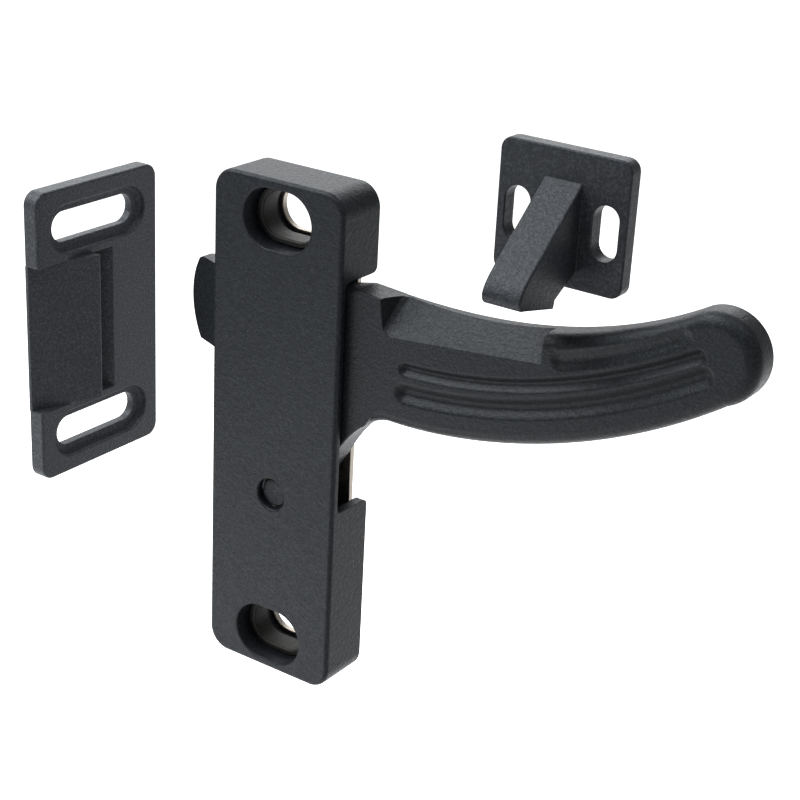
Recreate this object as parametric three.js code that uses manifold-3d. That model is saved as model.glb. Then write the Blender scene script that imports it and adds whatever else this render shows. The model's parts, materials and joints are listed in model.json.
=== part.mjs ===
/**
 * Gate latch kit: a spring-return lever latch in a cast case, its strike plate
 * and its catch block.
 *
 * Millimetres. +X runs along the lever handle, +Y into the gate (the case's back
 * plane is y = 0, its front is at -caseDepth), +Z is up. The origin is the centre
 * of the case's back plane.
 */
import * as THREE from 'three';
import { mergeVertices } from 'three/addons/utils/BufferGeometryUtils.js';
import Module from 'manifold-3d';

const wasm = await Module();
wasm.setup();

// ---------------------------------------------------------------- dimensions

const gap = 0.3;
const overcut = 2;
const fine = 8;
const coarse = 4;

// Case casting
const caseWidth = 38.4;
const caseHeight = 130;
const caseDepth = 14.5;
const caseCorner = 5.75;
const caseEdge = 0.9;
const frontWall = 2;
const sideWall = 2.4;
const cavityHalfHeight = 46.4;
const cavityCorner = 2;

// Window for the handle in the right wall, slot for the bolt nose in the left wall
const windowBottom = -15.5;
const windowTop = 43.8;
const noseSlotBottom = 14;
const noseSlotTop = 45;
const noseSlotBack = -2;
const wallOpeningCorner = 1.6;
const windowFillet = 2;

// Mounting slots, long axis along X
const slotHeight = 55.2;
const counterbore = { length: 20, width: 14.7, depth: 5.8 };
const boredSlot = { length: 18.4, width: 13.1 };
const insertFlange = { length: 19.4, width: 14.1, thickness: 0.8 };
const insertSleeve = { length: 17.8, width: 12.5, end: -4.2 };
const insertBore = { length: 16.4, width: 11.1 };

// Back plate
const plateWidth = 29.4;
const plateHeight = 124;
const plateThickness = 1.5;
const plateCorner = 4;
const plateSlot = { length: 16.8, width: 11.2 };
const screwOffsetX = 10.6;
const screwOffsetZ = 48.7;
const screw = { headRadius: 2.1, headHeight: 1.1, shankRadius: 1.0, length: 7 };

// Pivot
const pivotZ = -15.4;
const pinRadius = 3.75;
const pinFront = -13.1;
const spigotRadius = 2.5;
const clipRadius = 5.4;
const clipFront = -2.7;
const clipBack = -2.1;
const clipGrooveRadius = 3.0;
const bush = { inner: 4.0, outer: 5.2, front: -11.4, back: -3.6 };
const washer = { inner: 4.1, frontOuter: 8, rearOuter: 5.8, thickness: 0.6 };

// Lever casting: outline in X and Z measured from the pivot
const leverFront = -11.5;
const leverBack = -3.2;
const hubRadius = 10.6;
const coreEdge = 0.5;
const handleFrontEdge = 2.2;
const handleBackEdge = 0.8;
const nose = { tip: -33.6, top: 53.8, bottom: 31.9, arcRadius: 17, corner: 2, inner: -14 };
const noseBevel = { rootX: -19.6, rootY: -10.7, tipY: -5.2 };
const rootTop = 57.9;
const rootEnd = 30.3;
const tip = { x: 110.9, z: 64, radius: 10.3 };
const facet = { start: 28.3, skew: 2.2, end: 71.5, frontZ: 48.9, slope: 1.25, rise: 0.098 };
const grooveDepth = 1.1;

// Return spring and its two pins
const springRadius = 7;
const wireRadius = 0.55;
const springTurns = 3;
const springFront = -6.2;
const springBack = -2.4;
const springPocket = { radius: 9.2, floor: -7 };
const springPinRadius = 1.2;
const springPinX = -8.85;
const movingPinZ = 20;
const anchorPinZ = -18;
const legReach = 3;

// Rubber stops under the top wall of the cavity
const stopFront = -11;
const stopBack = -4;
const restStop = { left: 4, right: 14, bottom: 41.5 };
const openStop = { left: -13, right: -8, bottom: 44.9 };

// Strike plate: plate in Y and Z, its face towards +X
const strikeOrigin = new THREE.Vector3(-64.4, -11.35, 14.3);
const strikeWidth = 43.2;
const strikeHeight = 77;
const strikeThickness = 4.4;
const strikeCorner = 3.6;
const strikeEdge = 0.5;
const strikeSlotZ = 27.8;
const strikeRim = { length: 34.2, width: 12.8, depth: 1.9 };
const strikeSlot = { length: 28.8, width: 7.8 };
const strikePocketHeight = 39;
const strikePocketFloor = 0.8;
const rampEdgeLift = 0.9;
const rampCrestY = -2.2;
const rampCrest = 7.3;
const pocketFarY = 5;

// Catch block: flange in X and Z, its back on y = 0, the hook towards -Y
const catchOrigin = new THREE.Vector3(69, 0, 70.9);
const flangeWidth = 32.3;
const flangeHeight = 25.8;
const flangeThickness = 4;
const flangeCorner = 2.8;
const flangeEdge = 0.4;
const catchSlot = { length: 12.4, width: 6.3, x: 10.95, z: -1.3 };
const hookWidth = 9.6;
const hookTop = 8.4;
const hookReach = 22.6;
const hookEdge = 0.5;

// ----------------------------------------------------------------- materials

const coated = { color: 0x3d4144, roughness: 0.62, metalness: 0.25 };
const coatedDark = { color: 0x34383b, roughness: 0.6, metalness: 0.25 };
const stainless = { color: 0xb4aca2, roughness: 0.38, metalness: 1 };
const springSteel = { color: 0x8d8f92, roughness: 0.35, metalness: 1 };
const bronze = { color: 0xa98450, roughness: 0.45, metalness: 1 };
const rubber = { color: 0x1b1b1b, roughness: 0.9, metalness: 0 };

// ------------------------------------------------------------ solid helpers

/** A solid made from a closed three.js geometry. */
function solid(geometry) {
  const bare = geometry.clone();
  bare.deleteAttribute('normal');
  bare.deleteAttribute('uv');
  const merged = mergeVertices(bare, 1e-4);
  const points = merged.attributes.position;
  const corners = [];
  let volume = 0;
  for (let i = 0; i < merged.index.count; i += 3) {
    const [a, b, c] = [0, 1, 2].map((k) => merged.index.getX(i + k));
    if (a === b || b === c || c === a) continue;
    const [pa, pb, pc] = [a, b, c].map((k) => new THREE.Vector3().fromBufferAttribute(points, k));
    volume += pa.dot(pb.cross(pc));
    corners.push([a, b, c]);
  }
  const outward = volume > 0 ? corners : corners.map(([a, b, c]) => [a, c, b]);
  return new wasm.Manifold(new wasm.Mesh({
    numProp: 3,
    vertProperties: new Float32Array(points.array),
    triVerts: new Uint32Array(outward.flat()),
  }));
}

/** A named mesh of one solid, in its own material. */
function part(name, body, look) {
  const mesh = body.getMesh();
  const geometry = new THREE.BufferGeometry();
  geometry.setAttribute('position', new THREE.BufferAttribute(mesh.vertProperties, 3));
  geometry.setIndex(new THREE.BufferAttribute(mesh.triVerts, 1));
  geometry.computeVertexNormals();
  const result = new THREE.Mesh(geometry, new THREE.MeshStandardMaterial(look));
  result.name = name;
  return result;
}

/** The outline as straight segments, without points that fall on each other. */
function straightened(shape, curveSegments) {
  const closest = 0.02;
  const kept = [];
  for (const point of shape.getPoints(curveSegments)) {
    if (kept.length === 0 || point.distanceTo(kept[kept.length - 1]) > closest) kept.push(point);
  }
  if (kept[0].distanceTo(kept[kept.length - 1]) < closest) kept.pop();
  return new THREE.Shape(kept);
}

/** The geometry of an X-Z outline between two Y planes, its two rims rounded by edge. */
function slabY(shape, front, back, edge = 0, curveSegments = fine) {
  const geometry = new THREE.ExtrudeGeometry(straightened(shape, curveSegments), {
    depth: back - front - 2 * edge,
    bevelEnabled: edge > 0,
    bevelThickness: edge,
    bevelSize: edge,
    bevelOffset: -edge,
    bevelSegments: 2,
  });
  geometry.rotateX(Math.PI / 2);
  geometry.translate(0, back - edge, 0);
  return geometry;
}

/** The geometry of a Y-Z outline between two X planes, its two rims rounded by edge. */
function slabX(shape, low, high, edge = 0, curveSegments = fine) {
  const geometry = slabY(shape, low, high, edge, curveSegments);
  const turn = new THREE.Matrix4().makeBasis(
    new THREE.Vector3(0, 1, 0),
    new THREE.Vector3(1, 0, 0),
    new THREE.Vector3(0, 0, 1),
  );
  geometry.applyMatrix4(turn);
  return geometry;
}

/** A box between two corners. */
function block(x0, x1, y0, y1, z0, z1) {
  const geometry = new THREE.BoxGeometry(x1 - x0, y1 - y0, z1 - z0);
  geometry.translate((x0 + x1) / 2, (y0 + y1) / 2, (z0 + z1) / 2);
  return solid(geometry);
}

/** A round bar along Y. */
function bar(radius, front, back, segments = 28) {
  const geometry = new THREE.CylinderGeometry(radius, radius, back - front, segments);
  geometry.translate(0, (front + back) / 2, 0);
  return solid(geometry);
}

/** A ring along Y. */
function ring(inner, outer, front, back, segments = 32) {
  return bar(outer, front, back, segments).subtract(bar(inner, front - 1, back + 1, segments));
}

/** A turned piece along Y from [radius, y] pairs that start and end on the axis. */
function turned(profile, segments = 28) {
  const points = profile.map(([radius, y]) => new THREE.Vector2(radius, y));
  return solid(new THREE.LatheGeometry(points, segments));
}

/** A rectangle with rounded corners, centred on the origin. */
function roundedRect(width, height, radius) {
  const [w, h] = [width / 2, height / 2];
  const shape = new THREE.Shape();
  shape.moveTo(w, -h + radius);
  shape.lineTo(w, h - radius);
  shape.absarc(w - radius, h - radius, radius, 0, Math.PI / 2);
  shape.absarc(-w + radius, h - radius, radius, Math.PI / 2, Math.PI);
  shape.absarc(-w + radius, -h + radius, radius, Math.PI, 1.5 * Math.PI);
  shape.absarc(w - radius, -h + radius, radius, 1.5 * Math.PI, 2 * Math.PI);
  return shape;
}

/** A slot outline: straight sides along the first axis with half-round ends. */
function slotShape(length, width) {
  const radius = width / 2;
  const straight = length / 2 - radius;
  const shape = new THREE.Shape();
  shape.moveTo(-straight, -radius);
  shape.lineTo(straight, -radius);
  shape.absarc(straight, 0, radius, -Math.PI / 2, Math.PI / 2);
  shape.absarc(-straight, 0, radius, Math.PI / 2, 1.5 * Math.PI);
  return shape;
}

/** A slot-shaped solid across the case, centred on x = 0 at height z. */
function slotY(size, front, back, z) {
  return solid(slabY(slotShape(size.length, size.width), front, back)).translate([0, 0, z]);
}

/** A slot-shaped solid through the strike plate, long axis along Y. */
function slotX(size, low, high, z) {
  return solid(slabX(slotShape(size.length, size.width), low, high)).translate([0, 0, z]);
}

/** A groove outline of constant width along a curve, with round ends. */
function grooveShape(curve, halfWidth, steps = 16) {
  const left = [];
  const right = [];
  for (let i = 0; i <= steps; i += 1) {
    const at = curve.getPoint(i / steps);
    const along = curve.getTangent(i / steps);
    left.push(new THREE.Vector2(at.x - along.y * halfWidth, at.y + along.x * halfWidth));
    right.push(new THREE.Vector2(at.x + along.y * halfWidth, at.y - along.x * halfWidth));
  }
  const end = curve.getPoint(1);
  const endAngle = curve.getTangent(1).angle();
  const start = curve.getPoint(0);
  const startAngle = curve.getTangent(0).angle();
  const shape = new THREE.Shape();
  shape.setFromPoints(right);
  shape.absarc(end.x, end.y, halfWidth, endAngle - Math.PI / 2, endAngle + Math.PI / 2);
  left.reverse().slice(1, -1).forEach((point) => shape.lineTo(point.x, point.y));
  shape.absarc(start.x, start.y, halfWidth, startAngle + Math.PI / 2, startAngle + 1.5 * Math.PI);
  return shape;
}

// ---------------------------------------------------------------------- case

/** Opening in a side wall, as a Y-Z outline with rounded corners. */
function wallOpening(x0, x1, y0, y1, z0, z1) {
  const outline = roundedRect(y1 - y0, z1 - z0, wallOpeningCorner);
  return solid(slabX(outline, x0, x1, 0, coarse)).translate([0, (y0 + y1) / 2, (z0 + z1) / 2]);
}

/** The handle's window: open to the back, where its two outer corners are rounded. */
function handleWindow(x0, x1) {
  const front = -caseDepth + frontWall;
  const inner = wallOpeningCorner;
  const outer = windowFillet;
  const shape = new THREE.Shape();
  shape.moveTo(front + inner, windowBottom);
  shape.lineTo(-outer, windowBottom);
  shape.absarc(-outer, windowBottom - outer, outer, Math.PI / 2, 0, true);
  shape.lineTo(6, windowBottom - outer);
  shape.lineTo(6, windowTop + outer);
  shape.lineTo(0, windowTop + outer);
  shape.absarc(-outer, windowTop + outer, outer, 0, -Math.PI / 2, true);
  shape.lineTo(front + inner, windowTop);
  shape.absarc(front + inner, windowTop - inner, inner, Math.PI / 2, Math.PI);
  shape.absarc(front + inner, windowBottom + inner, inner, Math.PI, 1.5 * Math.PI);
  return solid(slabX(shape, x0, x1, 0, coarse));
}

/** The countersunk seat of the pivot pin in the front wall. */
function pivotSeat() {
  const holeRadius = pinRadius + 0.35;
  const rimRadius = 4.5;
  const rimDepth = 0.4;
  return turned([
    [0, -caseDepth - 1],
    [rimRadius, -caseDepth - 1],
    [rimRadius, -caseDepth],
    [holeRadius, -caseDepth + rimDepth],
    [holeRadius, -caseDepth + frontWall + 1],
    [0, -caseDepth + frontWall + 1],
  ], 36).translate([0, 0, pivotZ]);
}

/** The cast case: open at the back, solid round the two mounting slots. */
function makeHousing() {
  const outline = roundedRect(caseWidth, caseHeight, caseCorner);
  const cavity = roundedRect(caseWidth - 2 * sideWall, 2 * cavityHalfHeight, cavityCorner);
  const innerFront = -caseDepth + frontWall;
  const wallInside = caseWidth / 2 - sideWall - 1;
  let body = solid(slabY(outline, -caseDepth, 2 * caseEdge + 1, caseEdge, coarse))
    .subtract(block(-caseWidth, caseWidth, 0, 5, -caseHeight, caseHeight))
    .subtract(solid(slabY(cavity, innerFront, overcut, 0, 6)));
  const plateSeat = roundedRect(plateWidth + 2 * gap, plateHeight + 2 * gap, plateCorner);
  body = body.subtract(solid(slabY(plateSeat, -plateThickness - gap, overcut, 0, 6)));
  for (const z of [slotHeight, -slotHeight]) {
    body = body.subtract(slotY(counterbore, -caseDepth - 1, -caseDepth + counterbore.depth, z));
    body = body.subtract(slotY(boredSlot, -caseDepth + 1, overcut, z));
  }
  body = body
    .subtract(handleWindow(wallInside, caseWidth))
    .subtract(wallOpening(-caseWidth, -wallInside, innerFront, noseSlotBack, noseSlotBottom, noseSlotTop))
    .subtract(pivotSeat());
  const bossRadius = 2.9;
  const anchorBoss = bar(bossRadius, innerFront - 0.5, -7.5)
    .translate([springPinX, 0, pivotZ + anchorPinZ]);
  const anchorHole = bar(springPinRadius + gap, innerFront, 0, 16)
    .translate([springPinX, 0, pivotZ + anchorPinZ]);
  body = body.add(anchorBoss).subtract(anchorHole);
  for (const [x, z] of screwPlaces()) {
    const hole = bar(screw.shankRadius + gap, -screw.length - 0.6, overcut, 14);
    body = body.subtract(hole.translate([x, 0, z]));
  }
  return body;
}

/** The four screw positions of the back plate. */
function screwPlaces() {
  const places = [];
  for (const z of [screwOffsetZ, -screwOffsetZ]) {
    for (const x of [-screwOffsetX, screwOffsetX]) places.push([x, z]);
  }
  return places;
}

/** The steel plate that closes the back of the case. */
function makeBackPlate() {
  const outline = roundedRect(plateWidth, plateHeight, plateCorner);
  let body = solid(slabY(outline, -plateThickness, 0, 0, 6));
  for (const z of [slotHeight, -slotHeight]) {
    body = body.subtract(slotY(plateSlot, -plateThickness - 1, 1, z));
  }
  const seatRadius = screw.headRadius + gap;
  const holeRadius = screw.shankRadius + gap;
  for (const [x, z] of screwPlaces()) {
    const seat = turned([
      [0, -plateThickness - 1],
      [holeRadius, -plateThickness - 1],
      [holeRadius, -screw.headHeight - 0.2],
      [seatRadius, 0],
      [seatRadius, 1],
      [0, 1],
    ], 20);
    body = body.subtract(seat.translate([x, 0, z]));
  }
  const spigotHole = bar(spigotRadius + 0.2, -plateThickness - 1, 1);
  return body.subtract(spigotHole.translate([0, 0, pivotZ]));
}

/** A countersunk screw with a cross recess, its head towards +Y. */
function makePlateScrew() {
  const top = -0.1;
  const body = turned([
    [0, -screw.length],
    [screw.shankRadius * 0.6, -screw.length],
    [screw.shankRadius, -screw.length + 0.8],
    [screw.shankRadius, -screw.headHeight - 0.1],
    [screw.headRadius, top],
    [0, top],
  ], 20);
  const recess = 0.32;
  const reach = 1.25;
  const depth = 0.6;
  return body
    .subtract(block(-reach, reach, top - depth, 1, -recess, recess))
    .subtract(block(-recess, recess, top - depth, 1, -reach, reach));
}

/** The steel lining of a mounting slot: a flange on the counterbore floor and a sleeve. */
function makeSlotInsert(z) {
  const flangeBack = -caseDepth + counterbore.depth - 0.2;
  const flangeFront = flangeBack - insertFlange.thickness;
  return slotY(insertFlange, flangeFront, flangeBack, z)
    .add(slotY(insertSleeve, flangeFront + 0.2, insertSleeve.end, z))
    .subtract(slotY(insertBore, -caseDepth, 0, z));
}

/** A rubber stop glued under the top wall of the cavity. */
function makeStop(stop) {
  const outline = roundedRect(stop.right - stop.left, cavityHalfHeight - gap - stop.bottom, 0.6);
  const middle = [(stop.left + stop.right) / 2, (cavityHalfHeight - gap + stop.bottom) / 2];
  return solid(slabY(outline, stopFront, stopBack, 0, 3)).translate([middle[0], 0, middle[1]]);
}

// --------------------------------------------------------------------- pivot

/** The pivot pin: shank, clip groove and the spigot in the back plate. */
function makePivotPin() {
  const shoulder = -plateThickness - gap;
  const chamfer = 0.5;
  return turned([
    [0, pinFront],
    [pinRadius - chamfer, pinFront],
    [pinRadius, pinFront + chamfer],
    [pinRadius, clipFront - 0.1],
    [clipGrooveRadius, clipFront - 0.1],
    [clipGrooveRadius, clipBack + 0.1],
    [pinRadius, clipBack + 0.1],
    [pinRadius, shoulder],
    [spigotRadius, shoulder],
    [spigotRadius, -0.2],
    [0, -0.2],
  ], 36);
}

/** The open retaining clip in the pin's groove. */
function makePivotClip() {
  const mouth = block(-1.6, 1.6, clipFront - 1, clipBack + 1, -clipRadius - 1, 0);
  return ring(clipGrooveRadius + 0.15, clipRadius, clipFront, clipBack).subtract(mouth);
}

/** The wire of the return spring: moving leg, coil and fixed leg. */
function makeSpring() {
  const route = [new THREE.Vector3(-springRadius, springFront, movingPinZ + legReach)];
  route.push(new THREE.Vector3(-springRadius, springFront, movingPinZ / 2));
  const stepsPerTurn = 16;
  const steps = springTurns * stepsPerTurn;
  for (let i = 0; i <= steps; i += 1) {
    const angle = Math.PI + (i / stepsPerTurn) * 2 * Math.PI;
    const y = springFront + (springBack - springFront) * (i / steps);
    route.push(new THREE.Vector3(springRadius * Math.cos(angle), y, springRadius * Math.sin(angle)));
  }
  route.push(new THREE.Vector3(-springRadius, springBack, anchorPinZ / 2));
  route.push(new THREE.Vector3(-springRadius, springBack, anchorPinZ - legReach));
  const section = new THREE.Shape();
  section.absarc(0, 0, wireRadius, 0, 2 * Math.PI);
  return solid(new THREE.ExtrudeGeometry(section, {
    steps: 84,
    curveSegments: 3,
    bevelEnabled: false,
    extrudePath: new THREE.CatmullRomCurve3(route),
  }));
}

// --------------------------------------------------------------------- lever

/** Outline of the lever inside and next to the case: bolt nose, hub and handle root. */
function leverCoreShape() {
  const arcX = nose.tip + nose.arcRadius;
  const arcZ = (nose.top + nose.bottom) / 2;
  const lowAngle = Math.asin((arcZ - nose.bottom) / nose.arcRadius);
  const highAngle = Math.asin((nose.top - nose.corner / 2 - arcZ) / nose.arcRadius);
  const cornerX = arcX - nose.arcRadius * Math.cos(highAngle);
  const shape = new THREE.Shape();
  shape.moveTo(nose.inner, nose.bottom);
  shape.quadraticCurveTo(-14, 14, -hubRadius, 0);
  shape.absarc(0, 0, hubRadius, Math.PI, 2.05 * Math.PI);
  shape.quadraticCurveTo(12.4, 8.5, 15.7, 12.5);
  shape.quadraticCurveTo(22.5, 26, 31, 27);
  shape.lineTo(rootEnd, 33);
  shape.lineTo(rootEnd, rootTop - 0.6);
  shape.lineTo(21.5, rootTop);
  shape.lineTo(16, rootTop - 1.2);
  shape.lineTo(4, rootTop - 1.5);
  shape.lineTo(nose.inner, nose.top);
  shape.lineTo(cornerX + 1.5 * nose.corner, nose.top);
  shape.quadraticCurveTo(cornerX + nose.corner / 2, nose.top, cornerX, nose.top - nose.corner / 2);
  shape.absarc(arcX, arcZ, nose.arcRadius, Math.PI - highAngle, Math.PI + lowAngle);
  return shape;
}

/** Outline of the curved handle, from inside the root to its round tip. */
function handleShape() {
  const shape = new THREE.Shape();
  shape.moveTo(24, 27);
  shape.lineTo(30, 27);
  shape.bezierCurveTo(57.9, 26.5, 89.9, 36.3, tip.x + 3.8, tip.z - 9.6);
  shape.absarc(tip.x, tip.z, tip.radius, -0.38 * Math.PI, 0.64 * Math.PI);
  shape.bezierCurveTo(80.6, 57.4, 51.4, 56, 28, 57.5);
  shape.lineTo(24, 57.3);
  return shape;
}

/** The handle, rounded widely at its front and slightly at its back. */
function makeHandle() {
  const spare = 4;
  const outline = handleShape();
  const front = solid(slabY(outline, leverFront, leverBack + spare, handleFrontEdge, 7));
  return front.intersect(solid(slabY(outline, leverFront - spare, leverBack, handleBackEdge, 7)));
}

/** The sloping thumb facet that is cut off the top front edge of the handle. */
function thumbFacetCutter() {
  const front = leverFront - 1;
  const back = leverBack + 1;
  const above = 80;
  const foot = [
    [facet.start, front],
    [facet.start + facet.skew, back],
    [facet.end, front],
    [facet.end, back],
  ];
  const corners = [];
  for (const [x, y] of foot) {
    const z = facet.frontZ + facet.rise * (x - facet.start) + facet.slope * (y - leverFront);
    corners.push([x, y, z], [x, y, above]);
  }
  return wasm.Manifold.hull(corners);
}

/** The wedge that is cut off the front of the bolt nose. */
function noseBevelCutter() {
  const shape = new THREE.Shape();
  shape.moveTo(noseBevel.rootX, noseBevel.rootY);
  shape.lineTo(noseBevel.rootX, leverFront - 1);
  shape.lineTo(nose.tip - 1, leverFront - 1);
  shape.lineTo(nose.tip - 1, noseBevel.tipY + 0.4);
  const geometry = new THREE.ExtrudeGeometry(shape, { depth: 40, bevelEnabled: false });
  geometry.translate(0, 0, 20);
  return solid(geometry);
}

/** The pocket in the back of the lever for the spring, its moving leg and pin. */
function springPocketCutter() {
  const legSlot = { left: springPinX - 2, right: -springRadius + 1.6 };
  const legTop = movingPinZ + legReach + 1.5;
  return bar(springPocket.radius, springPocket.floor, 0)
    .add(block(legSlot.left, legSlot.right, springPocket.floor, 0, 0, legTop))
    .add(bar(springPinRadius + gap, springPocket.floor - 1.6, 0, 16).translate([springPinX, 0, movingPinZ]));
}

/** The two long grip grooves in the front of the handle. */
function gripGrooves() {
  const upper = new THREE.CubicBezierCurve(
    new THREE.Vector2(36, 42.2),
    new THREE.Vector2(59, 42.6),
    new THREE.Vector2(84, 50),
    new THREE.Vector2(108, 64.4),
  );
  const lower = new THREE.CubicBezierCurve(
    new THREE.Vector2(36, 36.2),
    new THREE.Vector2(61, 37.2),
    new THREE.Vector2(86, 45.2),
    new THREE.Vector2(109.5, 60.2),
  );
  return [[upper, 1.7], [lower, 2.5]].map(([curve, halfWidth]) => (
    solid(slabY(grooveShape(curve, halfWidth), leverFront - 1, leverFront + grooveDepth, 0, 5))
  ));
}

/** The lever: one casting with bolt nose, hub, root and handle. */
function makeLever() {
  let body = solid(slabY(leverCoreShape(), leverFront, leverBack, coreEdge, coarse))
    .add(makeHandle())
    .subtract(thumbFacetCutter())
    .subtract(noseBevelCutter())
    .subtract(springPocketCutter())
    .subtract(bar(bush.outer + gap, leverFront - 1, leverBack + 1, 32));
  for (const groove of gripGrooves()) body = body.subtract(groove);
  return body;
}

// -------------------------------------------------------------------- strike

/** The strike's ramp: up from the near edge to the crest, with the pocket beyond it. */
function makeStrikeRamp() {
  const near = -strikeWidth / 2;
  const shape = new THREE.Shape();
  shape.moveTo(near, 0);
  shape.lineTo(near, rampEdgeLift);
  shape.lineTo(rampCrestY - 0.7, rampCrest - 0.1);
  shape.quadraticCurveTo(rampCrestY, rampCrest, rampCrestY, rampCrest - 0.7);
  shape.lineTo(rampCrestY, 0);
  const geometry = new THREE.ExtrudeGeometry(shape, { depth: strikePocketHeight, bevelEnabled: false });
  const stand = new THREE.Matrix4().makeBasis(
    new THREE.Vector3(0, 1, 0),
    new THREE.Vector3(1, 0, 0),
    new THREE.Vector3(0, 0, 1),
  );
  geometry.applyMatrix4(stand);
  geometry.translate(0, 0, -strikePocketHeight / 2);
  return solid(geometry);
}

/** The strike plate with its two countersunk slots and the ramped bolt pocket. */
function makeStrikePlate() {
  const outline = roundedRect(strikeWidth, strikeHeight, strikeCorner);
  const half = strikePocketHeight / 2;
  let body = solid(slabX(outline, 0, strikeThickness, strikeEdge, coarse));
  body = body.subtract(block(strikePocketFloor, 10, -strikeWidth, pocketFarY, -half, half));
  body = body.add(makeStrikeRamp());
  for (const z of [strikeSlotZ, -strikeSlotZ]) {
    body = body.subtract(slotX(strikeRim, strikeThickness - strikeRim.depth, 10, z));
    body = body.subtract(slotX(strikeSlot, -1, 10, z));
  }
  return body;
}

// --------------------------------------------------------------------- catch

/** Side outline of the hook in Y and Z, from the flange to the rounded nose. */
function hookShape() {
  const root = -flangeThickness + 1;
  const front = -flangeThickness - hookReach;
  const shape = new THREE.Shape();
  shape.moveTo(root, hookTop + 0.8);
  shape.lineTo(front + 4.2, -7.2);
  shape.quadraticCurveTo(front + 0.4, -10.4, front, -12.6);
  shape.quadraticCurveTo(front, -14.8, front + 2.2, -14.9);
  shape.lineTo(-flangeThickness - 8, -17.6);
  shape.lineTo(-flangeThickness - 7.6, -15.7);
  shape.lineTo(-flangeThickness, -11.4);
  shape.lineTo(root, -11.4);
  return shape;
}

/** The catch: slotted flange with the sloping hook in front. */
function makeCatch() {
  const outline = roundedRect(flangeWidth, flangeHeight, flangeCorner);
  let body = solid(slabY(outline, -flangeThickness, 0, flangeEdge, coarse))
    .add(solid(slabX(hookShape(), -hookWidth / 2, hookWidth / 2, hookEdge, coarse)));
  for (const x of [-catchSlot.x, catchSlot.x]) {
    const slot = slabY(slotShape(catchSlot.length, catchSlot.width), -flangeThickness - 1, 1);
    slot.rotateY(Math.PI / 2);
    body = body.subtract(solid(slot).translate([x, 0, catchSlot.z]));
  }
  return body;
}

// ------------------------------------------------------------------ assembly

/** The case with everything that is fixed in it. */
function latchCase() {
  const group = new THREE.Group();
  group.add(part('housing', makeHousing(), coated));
  group.add(part('back_plate', makeBackPlate(), stainless));
  screwPlaces().forEach(([x, z], index) => {
    const fastener = part(`plate_screw_${index + 1}`, makePlateScrew(), springSteel);
    fastener.position.set(x, 0, z);
    group.add(fastener);
  });
  group.add(part('upper_slot_insert', makeSlotInsert(slotHeight), stainless));
  group.add(part('lower_slot_insert', makeSlotInsert(-slotHeight), stainless));
  group.add(part('rest_bumper', makeStop(restStop), rubber));
  group.add(part('open_bumper', makeStop(openStop), rubber));
  return group;
}

/** The pieces on the pivot axis that stay with the case. */
function pivotGroup() {
  const group = new THREE.Group();
  group.position.z = pivotZ;
  const frontWasherFront = -caseDepth + frontWall + 0.2;
  const rearWasherFront = bush.back + 0.15;
  group.add(part('pivot_pin', makePivotPin(), coated));
  group.add(part('pivot_clip', makePivotClip(), springSteel));
  group.add(part('front_washer',
    ring(washer.inner, washer.frontOuter, frontWasherFront, frontWasherFront + washer.thickness), stainless));
  group.add(part('rear_washer',
    ring(washer.inner, washer.rearOuter, rearWasherFront, rearWasherFront + washer.thickness), stainless));
  group.add(part('torsion_spring', makeSpring(), springSteel));
  const anchor = part('spring_anchor_pin',
    bar(springPinRadius, -caseDepth + frontWall + gap, -plateThickness - gap, 16), springSteel);
  anchor.position.set(springPinX, 0, anchorPinZ);
  group.add(anchor);
  return group;
}

/** The pieces that turn about the pivot. */
function leverGroup() {
  const group = new THREE.Group();
  group.position.z = pivotZ;
  group.add(part('lever', makeLever(), coatedDark));
  group.add(part('pivot_bush', ring(bush.inner, bush.outer, bush.front, bush.back), bronze));
  const pin = part('lever_spring_pin',
    bar(springPinRadius, springPocket.floor - 1.3, leverBack - 0.2, 16), springSteel);
  pin.position.set(springPinX, 0, movingPinZ);
  group.add(pin);
  return group;
}

const kit = new THREE.Group();
kit.add(latchCase());
kit.add(pivotGroup());
kit.add(leverGroup());

const strikePlate = part('strike_plate', makeStrikePlate(), coated);
strikePlate.position.copy(strikeOrigin);
kit.add(strikePlate);

const catchBlock = part('catch_block', makeCatch(), coated);
catchBlock.position.copy(catchOrigin);
kit.add(catchBlock);

export default kit;
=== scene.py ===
"""Looks of the gate latch kit: finished meshes, powder coat and bare steel, studio and camera.

Lengths in the outline functions are millimetres in the row frame; meshes are made in metres.
"""
import json
import math

import bmesh
import bpy
from mathutils import Matrix, Vector


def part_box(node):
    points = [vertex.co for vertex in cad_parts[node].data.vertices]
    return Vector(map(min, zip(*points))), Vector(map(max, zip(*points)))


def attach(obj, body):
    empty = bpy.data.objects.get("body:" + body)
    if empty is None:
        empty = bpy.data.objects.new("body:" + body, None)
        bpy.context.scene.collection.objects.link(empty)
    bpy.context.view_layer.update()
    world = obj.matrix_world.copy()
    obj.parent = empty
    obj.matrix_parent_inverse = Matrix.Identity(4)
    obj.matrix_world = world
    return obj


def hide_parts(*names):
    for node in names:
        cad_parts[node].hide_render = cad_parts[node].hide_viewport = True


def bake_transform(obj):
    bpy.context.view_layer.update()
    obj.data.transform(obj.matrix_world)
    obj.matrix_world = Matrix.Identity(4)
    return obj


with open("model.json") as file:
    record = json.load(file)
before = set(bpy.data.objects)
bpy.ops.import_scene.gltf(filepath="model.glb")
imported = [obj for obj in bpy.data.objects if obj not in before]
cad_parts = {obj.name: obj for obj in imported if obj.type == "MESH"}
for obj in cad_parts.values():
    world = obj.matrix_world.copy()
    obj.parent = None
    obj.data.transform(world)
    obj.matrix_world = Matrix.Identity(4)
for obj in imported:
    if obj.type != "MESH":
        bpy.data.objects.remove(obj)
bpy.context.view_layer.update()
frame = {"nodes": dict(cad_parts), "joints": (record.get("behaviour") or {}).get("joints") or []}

MM = 0.001
TAU = 2 * math.pi


# ------------------------------------------------------------------ frame values

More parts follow.
